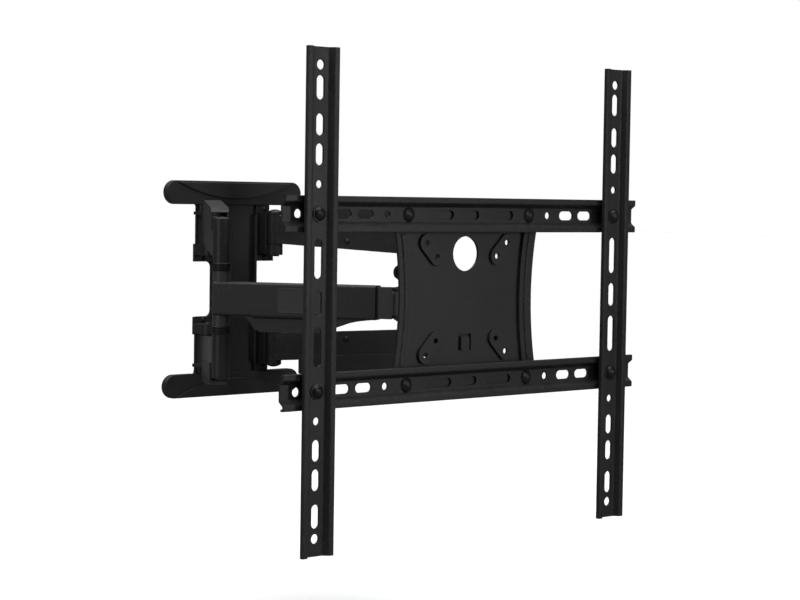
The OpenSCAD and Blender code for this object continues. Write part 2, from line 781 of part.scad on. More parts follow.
module centre_plate() {
  pad_rise = 2.5;
  pad_r = 8;
  front = -plate_y;
  base = front - dish_depth;
  color(steel) translate([0, 0, tv_rise]) difference() {
    union() {
      slab(front - plate_t, front) difference() {
        square([2 * plate_x, 2 * plate_half_h], center = true);
        for (s = [-1, 1]) translate([s * waist_centre, 0]) circle(r = waist_r, $fn = 240);
        dish_outline(plate_t);
      }
      // the pressed middle and the wall round it
      slab(base - plate_t, base) dish_outline(0);
      slab(base - plate_t, front - 0.5) difference() {
        dish_outline(0);
        dish_outline(plate_t);
      }
      // pressed ribs that follow both hollow sides
      slab(front - 0.5, front + 1.2) for (s = [-1, 1]) intersection() {
        translate([s * waist_centre, 0]) difference() {
          circle(r = waist_r + dish_margin - 3, $fn = 240);
          circle(r = waist_r + dish_margin - 8, $fn = 240);
        }
        translate([s * plate_x / 2, 0]) square([plate_x, 2 * between_rails - 3], center = true);
      }
      quarters() slab(base - 0.5, base + pad_rise) vesa_pad(pad_r);
      // flanges turned back for the tilt bolts
      for (side = [left, right]) on_side(side) translate([0, 0, -tv_rise])
        side_slab(flange_x, flange_x + flange_t) {
          ear_outline(1.5);
          translate([dish_y + 1, tilt_z - 12]) square([tilt_y - dish_y, 12 + ear_r + 1.5]);
        }
      // closed back of the hook pocket
      slab(base - plate_t - 2, base - plate_t + 0.5) translate([0, hook_z]) square([20, 19], center = true);
    }
    for (sx = [-1, 1], sz = [-1, 1], at = [37.5, 50])
      translate([sx * at, plate_y, sz * at]) hole_through(2.6);
    quarters() slab(base - plate_t - 1, base) vesa_pad(pad_r - 2.5);
    translate([0, plate_y, 40]) hole_through(15.75);
    slab(base - plate_t, front) translate([0, hook_z]) square([16, 15], center = true);
    for (sx = [-1, 1], sz = [-1, 1])
      translate([sx * 75, plate_y, sz * rail_z]) hole_through(rail_rivet_r + snug);
    for (side = [left, right]) on_side(side)
      bar_x(head_x, flange_x + 10, tilt_y, tilt_z - tv_rise, tilt_r + run);
  }
  // hook tongue bent up out of the pocket
  color(steel) translate([0, 0, tv_rise]) slab(base - plate_t - 0.5, base + 1.2)
    translate([0, hook_z - 1.2]) round_rect(10, 12.9, 1.5);
}

module rail_rivets() {
  color(zinc) for (sx = [-1, 1], sz = [-1, 1])
    translate([sx * 75, plate_y, tv_rise + sz * rail_z]) rotate([90, 0, 0]) {
      translate([0, 0, -plate_t]) cylinder(r = rail_rivet_r, h = plate_t + rail_t);
      translate([0, 0, rail_t]) dome(6.6, 3.4);
      translate([0, 0, -plate_t]) rotate([180, 0, 0]) dome(6, 2);
    }
}

module at_rail_screws() {
  for (sx = [-1, 1], sz = [-1, 1]) translate([sx * rail_x, tv_y + rail_step, tv_rise + sz * rail_z])
    rotate([90, 0, 0]) children();
}

// Round-headed bolts that clamp the vertical rails to the horizontal ones.
module rail_screws() {
  reach = rail_t + rail_step + rail_t + 9;
  color(zinc) at_rail_screws() {
    translate([0, 0, -reach]) cylinder(r = rail_bolt_r, h = reach + rail_washer_t);
    translate([0, 0, rail_washer_t]) dome(6, 3.4);
  }
}

module rail_washers() {
  color(zinc) at_rail_screws() barrel(0, rail_washer_t, 6.9, rail_bolt_r + snug);
}

module rail_nuts() {
  back = rail_t + rail_step + rail_t;
  color(zinc) at_rail_screws() difference() {
    union() {
      translate([0, 0, -back - 1.2]) cylinder(r = 7.4, h = 1.2);
      translate([0, 0, -back - 6.2]) cylinder(r = 5.8, h = 5, $fn = 6);
    }
    translate([0, 0, -cut / 2]) cylinder(r = rail_bolt_r + snug, h = cut / 2);
  }
}

wall_plate();
wing_cover(1);  // top_cover
wing_cover(-1);  // bottom_cover
wall_bracket(left, 1);  // bracket_upper_left
wall_bracket(left, -1);  // bracket_lower_left
wall_bracket(right, 1);  // bracket_upper_right
wall_bracket(right, -1);  // bracket_lower_right
wall_pins();
wall_washers();
bracket_rivets();
rear_arm(left, 1);  // rear_arm_upper_left
rear_arm(left, -1);  // rear_arm_lower_left
elbow_pin(left);  // elbow_pin_left
elbow_bushes(left);  // elbow_bushes_left
elbow_caps(left);  // elbow_caps_left
arm_plugs(left);  // arm_plugs_left
cable_cover(left, 1);  // cable_cover_upper_left
cable_cover(left, -1);  // cable_cover_lower_left
rear_arm(right, 1);  // rear_arm_upper_right
rear_arm(right, -1);  // rear_arm_lower_right
elbow_pin(right);  // elbow_pin_right
elbow_bushes(right);  // elbow_bushes_right
elbow_caps(right);  // elbow_caps_right
arm_plugs(right);  // arm_plugs_right
cable_cover(right, 1);  // cable_cover_upper_right
cable_cover(right, -1);  // cable_cover_lower_right
front_arm(left);  // front_arm_left
arm_sleeve(left);  // arm_sleeve_left
cable_clip(left);  // cable_clip_left
face_plate(left);  // face_plate_left
front_arm(right);  // front_arm_right
arm_sleeve(right);  // arm_sleeve_right
cable_clip(right);  // cable_clip_right
face_plate(right);  // face_plate_right
yoke();
yoke_pins();
swivel_pin();
yoke_washers();
tilt_bracket();
tilt_bolts();
tilt_nuts();
friction_washers();
swivel_bushes();
centre_plate();
horizontal_rail(1);  // upper_rail
horizontal_rail(-1);  // lower_rail
rail_rivets();
vertical_rail(left);  // left_rail
vertical_rail(right);  // right_rail
rail_screws();
rail_washers();
rail_nuts();
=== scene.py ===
# %% [markdown]
# # A full motion television wall mount
#
# The mount is a chain of steel pieces: a wall plate, two folding pairs of arms, a yoke, a
# tilting head and a frame of four slotted rails that the television is screwed to. Its
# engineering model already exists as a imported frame, with every piece in its place. This
# lesson gives those pieces their looks. We start by loading the frame, and we write down the
# size of its box, because nothing that we add may stick out of it.

# %% Load the frame
import json
import math

import bmesh
import bpy
from mathutils import Matrix, Vector


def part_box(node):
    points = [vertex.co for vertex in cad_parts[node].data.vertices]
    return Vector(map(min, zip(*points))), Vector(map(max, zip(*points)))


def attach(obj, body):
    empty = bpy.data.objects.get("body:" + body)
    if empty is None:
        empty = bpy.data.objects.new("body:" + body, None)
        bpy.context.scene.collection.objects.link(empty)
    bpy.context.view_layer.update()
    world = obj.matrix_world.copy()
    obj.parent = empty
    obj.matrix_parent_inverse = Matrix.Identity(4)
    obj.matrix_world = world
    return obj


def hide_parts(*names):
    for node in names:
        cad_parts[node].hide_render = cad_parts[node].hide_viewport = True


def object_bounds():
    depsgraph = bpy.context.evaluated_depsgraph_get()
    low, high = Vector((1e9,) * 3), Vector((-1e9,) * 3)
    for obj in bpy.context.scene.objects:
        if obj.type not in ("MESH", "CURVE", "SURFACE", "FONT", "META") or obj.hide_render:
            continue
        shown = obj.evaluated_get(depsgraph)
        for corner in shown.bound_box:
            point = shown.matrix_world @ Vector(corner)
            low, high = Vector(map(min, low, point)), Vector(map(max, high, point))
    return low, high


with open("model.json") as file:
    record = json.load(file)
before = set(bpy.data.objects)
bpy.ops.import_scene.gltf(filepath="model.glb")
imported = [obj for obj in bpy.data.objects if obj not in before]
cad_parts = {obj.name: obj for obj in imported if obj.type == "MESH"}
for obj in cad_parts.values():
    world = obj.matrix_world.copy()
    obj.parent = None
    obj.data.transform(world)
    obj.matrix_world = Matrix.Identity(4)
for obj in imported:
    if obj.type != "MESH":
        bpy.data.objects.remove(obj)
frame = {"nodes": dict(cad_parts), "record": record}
cad_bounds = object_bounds()
scene = bpy.context.scene
MM = 0.001
body_of = {n: b for b, names in frame["record"]["behaviour"]["bodies"].items() for n in names}
slot_of = {s["node"]: s["material_slot"] for s in frame["record"]["subparts"]}
axis_of = {j["name"]: Vector(j["pos_m"]) for j in frame["record"]["behaviour"]["joints"]}
print("CAD box, mm:", [[round(v / MM, 1) for v in corner] for corner in cad_bounds])

# %% [markdown]
# ## The camera
#
# A picture of a wall mount is best taken with a long lens from one front corner, so that
# both the rails and the arms behind them can be read. The camera is placed by its point in
# the room and three angles: how far it is turned, how far it looks down, and a slight roll.
# A focal length of about 90 mm keeps the upright rails almost parallel.

# %% Camera
CAMERA_PLACE = Vector((-1.286, -1.691, 0.095))
CAMERA_TURN = math.radians(41.98)
CAMERA_DOWN = math.radians(2.83)
CAMERA_ROLL = math.radians(0.86)
FOCAL_LENGTH = 92.4
SENSOR_WIDTH = 36.0

camera_data = bpy.data.cameras.new("camera")
camera_data.lens = FOCAL_LENGTH
camera_data.sensor_width = SENSOR_WIDTH
camera_data.clip_start = 0.05
camera_data.clip_end = 60.0
camera = bpy.data.objects.new("camera", camera_data)
scene.collection.objects.link(camera)
camera.matrix_world = (
    Matrix.Translation(CAMERA_PLACE)
    @ Matrix.Rotation(-CAMERA_TURN, 4, "Z")
    @ Matrix.Rotation(math.radians(90) - CAMERA_DOWN, 4, "X")
    @ Matrix.Rotation(CAMERA_ROLL, 4, "Z")
)
scene.camera = camera
print("camera distance to the swivel, m:", round((CAMERA_PLACE - axis_of["swivel"]).length, 3))

# %% [markdown]
# ## Studio light and floor
#
# Black steel has almost no colour of its own: what we see on it are reflections. A room that
# is white all round would turn it grey, so only the backdrop is white, and the light that
# falls on the mount comes from a dim room and a few softboxes. A Light Path node tells the
# two apart. A broad lamp overhead lifts the floor to a clean pale tone, and hardly shows on
# the black coat. Two tall narrow strips at the sides draw the bright bands that run down
# round tubes and folded edges. The floor belongs to the studio.

# %% World
BACKDROP = 1.0
ROOM_LOW = 0.020        # brightness of the room below the horizon
ROOM_HIGH = 0.095       # and overhead
FADE = (-0.2, 0.9)      # heights of the view direction between which it changes

scene.view_settings.view_transform = "Standard"
world = bpy.data.worlds.new("white_room")
world.use_nodes = True
world_tree = world.node_tree
background = world_tree.nodes["Background"]
background.inputs["Color"].default_value = (1.0, 1.0, 1.0, 1.0)
direction = world_tree.nodes.new("ShaderNodeSeparateXYZ")
sky = world_tree.nodes.new("ShaderNodeTexCoord").outputs["Generated"]
world_tree.links.new(sky, direction.inputs[0])
room = world_tree.nodes.new("ShaderNodeMapRange")
room.inputs["From Min"].default_value = FADE[0]
room.inputs["From Max"].default_value = FADE[1]
room.inputs["To Min"].default_value = ROOM_LOW
room.inputs["To Max"].default_value = ROOM_HIGH
world_tree.links.new(direction.outputs["Z"], room.inputs["Value"])
seen = world_tree.nodes.new("ShaderNodeMix")
light_path = world_tree.nodes.new("ShaderNodeLightPath")
world_tree.links.new(light_path.outputs["Is Camera Ray"], seen.inputs["Factor"])
world_tree.links.new(room.outputs["Result"], seen.inputs["A"])
seen.inputs["B"].default_value = BACKDROP
world_tree.links.new(seen.outputs["Result"], background.inputs["Strength"])
scene.world = world

# %% Lamps and floor
FLOOR_DROP = 0.10   # the floor lies this far below the lowest point of the mount
FLOOR_SIZE = 40.0


def lamp(name, kind, energy, place, target, size, tall=None):
    """A lamp that points at a target. Size is metres for a softbox, or radians for a sun."""
    light = bpy.data.lights.new(name, kind)
    light.energy = energy
    if kind == "SUN":
        light.angle = size
    else:
        light.shape = "RECTANGLE"
        light.size = size
        light.size_y = tall or size
    holder = bpy.data.objects.new(name, light)
    scene.collection.objects.link(holder)
    aim = (Vector(target) - Vector(place)).to_track_quat("-Z", "Y")
    holder.matrix_world = Matrix.Translation(place) @ aim.to_matrix().to_4x4()
    print(f"{name}: {energy} at {place}")


middle = Vector((0.0, -0.2, 0.0))
lamp("overhead", "SUN", 3.45, (0.0, -0.2, 4.0), middle, math.radians(70))
lamp("key_softbox", "AREA", 20, (-2.4, -0.6, 1.6), middle, 0.9)
lamp("front_softbox", "AREA", 13, (-0.2, -2.8, 1.0), middle, 1.2)
lamp("back_softbox", "AREA", 12, (-1.2, 2.0, 2.4), middle, 1.2)
lamp("left_strip", "AREA", 7, (-2.4, -0.3, 0.1), middle, 0.22, 1.5)
lamp("right_strip", "AREA", 10, (1.2, -2.3, 0.1), middle, 0.22, 1.5)

floor_height = cad_bounds[0][2] - FLOOR_DROP
floor_mesh = bpy.data.meshes.new("floor")
bm = bmesh.new()
bmesh.ops.create_grid(bm, x_segments=1, y_segments=1, size=FLOOR_SIZE / 2)
bmesh.ops.translate(bm, verts=bm.verts, vec=(0, 0, floor_height))
bm.to_mesh(floor_mesh)
bm.free()
floor = bpy.data.objects.new("floor", floor_mesh)
scene.collection.objects.link(floor)
print("floor height, mm:", round(floor_height / MM, 1))

# %% [markdown]
# ## Shader groups that several finishes share
#
# Every finish on the mount needs the same effects at its own strength: a fine surface grain,
# slow changes in sheen where the coat is thicker or has been handled, a film of dust on faces
# that look up, and a paler line along worn edges. Each is built once as a node group, with
# named inputs and outputs, and is then placed in each material with its own values. The
# groups put out plain numbers, and the shader itself stays in the material.

# %% Node helpers


def new_group(name, inputs, output):
    """An empty shader group with float inputs and one float output, and its two end nodes."""
    group = bpy.data.node_groups.new(name, "ShaderNodeTree")
    for label, value in inputs.items():
        socket = group.interface.new_socket(label, in_out="INPUT", socket_type="NodeSocketFloat")
        socket.default_value = value
    group.interface.new_socket(output, in_out="OUTPUT", socket_type="NodeSocketFloat")
    return group, group.nodes.new("NodeGroupInput"), group.nodes.new("NodeGroupOutput")


def feed(tree, socket, value):
    """Sets a socket to a number, or links it to another socket."""
    if isinstance(value, (int, float)):
        socket.default_value = value
    else:
        tree.links.new(value, socket)


def noise(tree, coordinate, scale, detail, roughness=0.5):
    """A noise texture on the given coordinate."""
    node = tree.nodes.new("ShaderNodeTexNoise")
    node.inputs["Detail"].default_value = detail
    node.inputs["Roughness"].default_value = roughness
    tree.links.new(coordinate, node.inputs["Vector"])
    feed(tree, node.inputs["Scale"], scale)
    return node.outputs["Fac"]


def calc(tree, operation, first, second=0.5, clamp=False):
    """One Math node. Each operand is a socket or a number."""
    node = tree.nodes.new("ShaderNodeMath")
    node.operation = operation
    node.use_clamp = clamp
    feed(tree, node.inputs[0], first)
    feed(tree, node.inputs[1], second)
    return node.outputs[0]


def remap(tree, value, low, high, to_low=0.0, to_high=1.0):
    """Takes low..high to to_low..to_high, and stays inside it."""
    node = tree.nodes.new("ShaderNodeMapRange")
    tree.links.new(value, node.inputs["Value"])
    node.inputs["From Min"].default_value = low
    node.inputs["From Max"].default_value = high
    node.inputs["To Min"].default_value = to_low
    node.inputs["To Max"].default_value = to_high
    return node.outputs["Result"]


# %% Grain and sheen groups
GRIT_FINENESS = 3.1                  # the grit is this many times finer than the bumps
STREAK_SCALE = (30.0, 30.0, 300.0)   # streaks run level, so they are thin along Z
MOTTLE_SCALE = 330.0


def make_grain_group():
    """Small round bumps with finer grit between them, as powder coat and moulded plastic have."""
    group, source, sink = new_group("surface_grain", {"Scale": 900.0, "Grit": 0.35}, "Height")
    place = group.nodes.new("ShaderNodeTexCoord").outputs["Object"]
    bumps = noise(group, place, source.outputs["Scale"], 1.0)
    fine_scale = calc(group, "MULTIPLY", source.outputs["Scale"], GRIT_FINENESS)
    fine = noise(group, place, fine_scale, 2.0, 0.6)
    grit = calc(group, "MULTIPLY", fine, source.outputs["Grit"])
    group.links.new(calc(group, "ADD", bumps, grit), sink.inputs["Height"])
    return group


def make_sheen_group():
    """Broad soft patches, thin wiped streaks and fine mottling, as one value round a half."""
    group, source, sink = new_group(
        "sheen_patches", {"Patch size": 14.0, "Streaks": 0.25, "Mottle": 0.6}, "Value")
    place = group.nodes.new("ShaderNodeTexCoord").outputs["Object"]
    patches = noise(group, place, source.outputs["Patch size"], 2.0, 0.45)
    stretch = group.nodes.new("ShaderNodeMapping")
    stretch.inputs["Scale"].default_value = STREAK_SCALE
    group.links.new(place, stretch.inputs["Vector"])
    streaks = calc(group, "SUBTRACT", noise(group, stretch.outputs["Vector"], 1.0, 2.0), 0.5)
    weighted = calc(group, "MULTIPLY", streaks, source.outputs["Streaks"])
    spots = calc(group, "SUBTRACT", noise(group, place, MOTTLE_SCALE, 2.0, 0.6), 0.5)
    mottle = calc(group, "MULTIPLY", spots, source.outputs["Mottle"])
    total = calc(group, "ADD", calc(group, "ADD", patches, weighted), mottle)
    group.links.new(total, sink.inputs["Value"])
    return group


grain_group = make_grain_group()
sheen_group = make_sheen_group()
print("node groups:", [g.name for g in (grain_group, sheen_group)])

# %% [markdown]
# ### Edge wear and dust
#
# Wear could be found from how pointed the surface is, but that value is stored on vertices
# and smears across large flat faces. Instead, each rounded strip that a bevel makes will be
# marked in a mesh attribute, and the shader reads the mark. Noise breaks the line up, so the
# coat looks rubbed and not outlined. Dust is found from the normal: faces that look up
# collect it. The last group scatters the single pale flecks that any black coat shows.

# %% Wear and dust groups
EDGE_MARK = "edge_mark"
LOOKS_UP = 0.55       # upward part of the normal at which dust begins to lie
BARE_SHARE = 0.62     # cells of the fleck pattern below this value stay without a fleck


def make_wear_group():
    """A broken pale line on the strips that are marked as rounded edges."""
    group, source, sink = new_group("edge_wear", {"Amount": 0.6, "Break up": 260.0}, "Mask")
    mark = group.nodes.new("ShaderNodeAttribute")
    mark.attribute_name = EDGE_MARK
    place = group.nodes.new("ShaderNodeTexCoord").outputs["Object"]
    chips = remap(group, noise(group, place, source.outputs["Break up"], 3.0, 0.6), 0.40, 0.66)
    worn = calc(group, "MULTIPLY", mark.outputs["Fac"], chips)
    group.links.new(calc(group, "MULTIPLY", worn, source.outputs["Amount"]), sink.inputs["Mask"])
    return group


def make_dust_group():
    """A thin uneven film on faces that look up."""
    group, source, sink = new_group("settled_dust", {"Amount": 0.3, "Clumps": 120.0}, "Mask")
    geometry = group.nodes.new("ShaderNodeNewGeometry")
    split = group.nodes.new("ShaderNodeSeparateXYZ")
    group.links.new(geometry.outputs["Normal"], split.inputs[0])
    level = remap(group, split.outputs["Z"], LOOKS_UP, 1.0)
    place = group.nodes.new("ShaderNodeTexCoord").outputs["Object"]
    clumps = remap(group, noise(group, place, source.outputs["Clumps"], 4.0, 0.65), 0.35, 0.75)
    film = calc(group, "MULTIPLY", level, clumps)
    group.links.new(calc(group, "MULTIPLY", film, source.outputs["Amount"]), sink.inputs["Mask"])
    return group


def make_fleck_group():
    """Scattered pale flecks, in a share of the cells of a Voronoi pattern."""
    group, source, sink = new_group(
        "pale_flecks", {"Amount": 0.5, "Cells": 190.0, "Size": 0.09}, "Mask")
    cells = group.nodes.new("ShaderNodeTexVoronoi")
    group.links.new(group.nodes.new("ShaderNodeTexCoord").outputs["Object"], cells.inputs["Vector"])
    group.links.new(source.outputs["Cells"], cells.inputs["Scale"])
    inside = calc(group, "LESS_THAN", cells.outputs["Distance"], source.outputs["Size"])
    chosen = calc(group, "GREATER_THAN", cells.outputs["Color"], BARE_SHARE)
    fleck = calc(group, "MULTIPLY", inside, chosen)
    group.links.new(calc(group, "MULTIPLY", fleck, source.outputs["Amount"]), sink.inputs["Mask"])
    return group


wear_group = make_wear_group()
dust_group = make_dust_group()
fleck_group = make_fleck_group()
print("node groups:", [g.name for g in (wear_group, dust_group, fleck_group)])

# %% [markdown]
# ## The finishes
#
# There are six. Most of the mount is **powder coat**: satin black with the dimpled skin that
# baked powder leaves. The covers, sleeves and caps are **moulded plastic**, a little blacker
# and finer grained. Rings and washers are smooth **nylon**. Screws, rivets and pins are
# **black zinc**, which is metal and picks up brighter reflections. The small blank plates on
# the arms are a **matt film**, and the tubes of the front arms have a thinner, paler **tube
# coat**. One builder function makes all of them, because they differ only in numbers: three
# tones, a span of roughness, a grain, and how much wear, dust and flecks they show.

# %% Builder of a finish
DUST_TONE = (0.09, 0.088, 0.084)
FLECK_TONE = (0.16, 0.158, 0.15)
SHEEN_SPAN = (0.3, 0.7)    # the values that the sheen patches mostly take
GRAIN_MIDDLE = 0.6         # the grain's usual height
GRAIN_DULLS = 0.10         # how far a grain bump changes the roughness
DUST_DULLS = 0.3           # and how far full dust does
BUMP_STRENGTH = 0.5


def place_group(tree, group, **values):
    """A group node with some input values set. The others keep the group's own values."""
    node = tree.nodes.new("ShaderNodeGroup")
    node.node_tree = group
    for label, value in values.items():
        node.inputs[label].default_value = value
    return node.outputs[0]


def mix_colour(tree, factor, first, second):
    """A colour between two others. Each is a socket or an RGB triple."""
    node = tree.nodes.new("ShaderNodeMix")
    node.data_type = "RGBA"
    tree.links.new(factor, node.inputs["Factor"])
    for label, value in (("A", first), ("B", second)):
        socket = next(s for s in node.inputs if s.name == label and s.type == "RGBA")
        if isinstance(value, tuple):
            socket.default_value = (*value, 1.0)
        else:
            tree.links.new(value, socket)
    return next(s for s in node.outputs if s.type == "RGBA")


def make_finish(name, tones, rough, grain, wear, metallic=0.0, specular=0.3, dust=0.3, flecks=0.0):
    """A finish of three tones, a span of roughness, a grain, and shares of wear, dust and flecks.

    Tones are dark, light and worn. Grain is scale, grit and the depth of its bumps in metres.
    """
    dark, light, worn = tones
    scale, grit, depth = grain
    material = bpy.data.materials.new(name)
    material.use_nodes = True
    tree = material.node_tree
    shader = tree.nodes["Principled BSDF"]
    shader.inputs["Metallic"].default_value = metallic
    shader.inputs["Specular IOR Level"].default_value = specular
    sheen = place_group(tree, sheen_group)
    edge = place_group(tree, wear_group, Amount=wear)
    film = place_group(tree, dust_group, Amount=dust)
    fleck = place_group(tree, fleck_group, Amount=flecks)
    height = place_group(tree, grain_group, Scale=scale, Grit=grit)
    tone = mix_colour(tree, remap(tree, sheen, *SHEEN_SPAN), dark, light)
    tone = mix_colour(tree, edge, tone, worn)
    tone = mix_colour(tree, film, tone, DUST_TONE)
    tree.links.new(mix_colour(tree, fleck, tone, FLECK_TONE), shader.inputs["Base Color"])
    patchy = remap(tree, sheen, *SHEEN_SPAN, *rough)
    speck = calc(tree, "MULTIPLY", calc(tree, "SUBTRACT", height, GRAIN_MIDDLE), GRAIN_DULLS)
    dusty = calc(tree, "MULTIPLY", film, DUST_DULLS)
    dull = calc(tree, "ADD", calc(tree, "ADD", patchy, speck), dusty, clamp=True)
    tree.links.new(dull, shader.inputs["Roughness"])
    bump = tree.nodes.new("ShaderNodeBump")
    bump.inputs["Strength"].default_value = BUMP_STRENGTH
    bump.inputs["Distance"].default_value = depth
    tree.links.new(height, bump.inputs["Height"])
    tree.links.new(bump.outputs["Normal"], shader.inputs["Normal"])
    return material


# %% The finishes
finishes = {
    "powder_coat": make_finish(
        "powder_coat", [(0.0110, 0.0110, 0.0115), (0.0180, 0.0180, 0.0185), (0.05, 0.05, 0.052)],
        rough=(0.36, 0.46), grain=(1100.0, 0.35, 0.00010), wear=0.5, flecks=0.5),
    "black_plastic": make_finish(
        "moulded_plastic",
        [(0.0110, 0.0110, 0.0120), (0.0170, 0.0170, 0.0180), (0.03, 0.03, 0.032)],
        rough=(0.44, 0.54), grain=(2300.0, 0.6, 0.00004), wear=0.3, flecks=0.3),
    "bush_nylon": make_finish(
        "nylon", [(0.005, 0.005, 0.005), (0.007, 0.007, 0.0075), (0.014, 0.014, 0.014)],
        rough=(0.42, 0.52), grain=(600.0, 0.2, 0.00003), wear=0.2, specular=0.25),
    "dark_fastener": make_finish(
        "black_zinc", [(0.018, 0.018, 0.019), (0.028, 0.028, 0.030), (0.12, 0.12, 0.124)],
        rough=(0.27, 0.36), grain=(1500.0, 0.3, 0.00003), wear=0.6, metallic=0.55),
    "blank_plate": make_finish(
        "matt_film", [(0.025, 0.025, 0.027), (0.034, 0.034, 0.036), (0.06, 0.06, 0.06)],
        rough=(0.46, 0.56), grain=(1800.0, 0.5, 0.00003), wear=0.3, flecks=0.2),
}
tube_coat = make_finish(
    "tube_coat", [(0.030, 0.030, 0.031), (0.041, 0.041, 0.042), (0.07, 0.07, 0.072)],
    rough=(0.34, 0.44), grain=(1100.0, 0.35, 0.00008), wear=0.4, flecks=0.3)


def finish_of(node):
    """The front arms' tubes have a thinner coat. Every other node has its slot's finish."""
    return tube_coat if node.startswith("front_arm") else finishes[slot_of[node]]


for node_name, node_object in frame["nodes"].items():
    node_object.data.materials.clear()
    node_object.data.materials.append(finish_of(node_name))
print("finishes:", sorted(m.name for m in bpy.data.materials if m.name != "pale_floor"))

# %% [markdown]
# ### The floor
#
# The floor is painted pale, but black steel would mirror it in every upright face. So the
# Light Path node is used once more: the camera sees the pale paint, and reflections meet a
# darker one. Photographers get the same from black cards beside the object.

# %% Floor paint
FLOOR_IN_REFLECTIONS = (0.12, 0.12, 0.12)

floor_paint = make_finish(
    "pale_floor", [(0.905, 0.905, 0.905), (0.910, 0.910, 0.910), (0.915, 0.915, 0.915)],
    rough=(0.75, 0.78), grain=(60.0, 0.2, 0.0001), wear=0.0, dust=0.0)
floor_tree = floor_paint.node_tree
floor_colour = floor_tree.nodes["Principled BSDF"].inputs["Base Color"]
pale = floor_colour.links[0].from_socket
by_camera = floor_tree.nodes.new("ShaderNodeLightPath").outputs["Is Camera Ray"]
floor_tree.links.new(mix_colour(floor_tree, by_camera, FLOOR_IN_REFLECTIONS, pale), floor_colour)
floor.data.materials.append(floor_paint)
print("floor paint:", floor_paint.name)

# %% [markdown]
# ## Helpers for pieces
#
# No real edge is perfectly sharp. Punched slots have a slight roll-over, folded lips have a
# bend radius, and the coat rounds everything a little more. A bevel gives each edge that
# small radius, and it is what catches the light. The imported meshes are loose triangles, so
# a copy is merged, its flat areas are joined into single faces, and only the edges that turn
# sharply are bevelled. Every strip that the bevel makes gets the wear mark.

# %% Merge, select, round
SAME_POINT = 2e-6            # points this near are one, in metres
FLAT = math.radians(0.6)     # faces that turn less than this are one
SHARP = math.radians(24)     # edges that turn more than this are bevelled
CREASE = math.radians(40)    # edges that turn more than this stay sharp in the shading


def merged_copy(node):
    """A clean bmesh copy of a CAD node: doubles merged and flat areas joined."""
    bm = bmesh.new()
    bm.from_mesh(frame["nodes"][node].data)
    bmesh.ops.remove_doubles(bm, verts=bm.verts, dist=SAME_POINT)
    bmesh.ops.dissolve_limit(bm, angle_limit=FLAT, verts=bm.verts, edges=bm.edges)
    return bm


def turning_edges(bm, test=None):
    """The edges where two unmarked faces meet at a clear angle, and that pass a test."""
    mark = bm.loops.layers.float.get(EDGE_MARK)
    found = []
    for edge in bm.edges:
        if len(edge.link_faces) != 2 or edge.calc_face_angle(0) <= SHARP:
            continue
        if mark and any(face.loops[0][mark] > 0 for face in edge.link_faces):
            continue
        if test is None or test((edge.verts[0].co + edge.verts[1].co) / 2 / MM, edge):
            found.append(edge)
    return found


def round_edges(bm, edges, radius, segments=2):
    """Bevels edges to a radius in mm, and marks the new strips as rounded."""
    mark = bm.loops.layers.float.get(EDGE_MARK) or bm.loops.layers.float.new(EDGE_MARK)
    made = bmesh.ops.bevel(
        bm, geom=edges, offset=radius * MM, offset_type="OFFSET", affect="EDGES",
        segments=segments, profile=0.5, material=-1, clamp_overlap=True)
    for face in made["faces"]:
        for loop in face.loops:
            loop[mark] = 1.0


shaped = set()   # the CAD nodes that already have a shown piece


def add_piece(name, bm, like, stands_for=()):
    """Makes an object of a bmesh. It takes the body, slot and finish of the CAD node it is like."""
    mesh = bpy.data.meshes.new(name)
    bm.to_mesh(mesh)
    bm.free()
    mesh.shade_smooth()
    mesh.set_sharp_from_angle(angle=CREASE)
    piece = bpy.data.objects.new(name, mesh)
    scene.collection.objects.link(piece)
    mesh.materials.append(finish_of(like))
    even = piece.modifiers.new("even_shading", "WEIGHTED_NORMAL")
    even.keep_sharp = True
    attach(piece, body_of[like])
    if stands_for:
        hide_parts(*stands_for)
        shaped.update(stands_for)
    print(f"{name}: {len(mesh.vertices)} vertices, {len(mesh.polygons)} faces")


# %% [markdown]
# ## The rails
#
# A rail is rolled from one strip: a slotted web in the middle, and a raised lip with a turned
# edge on each side. The long folds have a real bend radius, the punched slots only a faint
# roll-over. So the folds are bevelled first, wide and with three segments, and the punched
# rims after them. The two are told apart by their distance from the rail's middle line.

# %% Rails
PUNCHED_REACH = 5.6   # the slots stay this near the middle line, and the folds beyond it
FOLD_R = 0.75
RIM_R = 0.28


def rail_piece(node, across):
    """A rail with round folds and softly rolled slot rims. Across is the axis over its width."""
    bm = merged_copy(node)
    low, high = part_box(node)
    centre = (low + high) / 2 / MM
    run = 2 - across   # the axis along the rail: 0 for X, 2 for Z

    def is_fold(place, edge):
        along = abs((edge.verts[0].co - edge.verts[1].co).normalized()[run]) > 0.99
        return along and abs(place[across] - centre[across]) > PUNCHED_REACH

    round_edges(bm, turning_edges(bm, is_fold), FOLD_R, 3)
    round_edges(bm, turning_edges(bm), RIM_R)
    add_piece(f"{node}_rolled", bm, node, [node])


for rail in ("upper_rail", "lower_rail"):
    rail_piece(rail, across=2)
for rail in ("left_rail", "right_rail"):
    rail_piece(rail, across=0)

# %% [markdown]
# ## The pressed centre plate and the wing covers
#
# The centre plate is drawn in a press: its middle sinks back, ribs run along both hollow
# sides, and four slanted pads rise to meet the television. Sheet steel can't follow a sharp
# die, so these forms get wide radii, while the sheared outline keeps a fine one. The wing
# covers are moulded, with a soft rim and a crescent that ends in a rounded step. Each form is
# found by the depth at which its edges lie, and has a radius of its own.

# %% Pressed and moulded pieces
tv_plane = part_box("left_rail")[0][1] / MM   # the front of the vertical rails
PLATE_FORMS = [(12.8, 0.9), (14.5, 1.1), (14.0, 1.0), (17.0, 0.8)]   # depth behind it, radius
COVER_FORMS = [(0.0, 0.8), (2.5, 1.1)]   # depth behind the cover's own front, radius
DEPTH_SLACK = 0.05


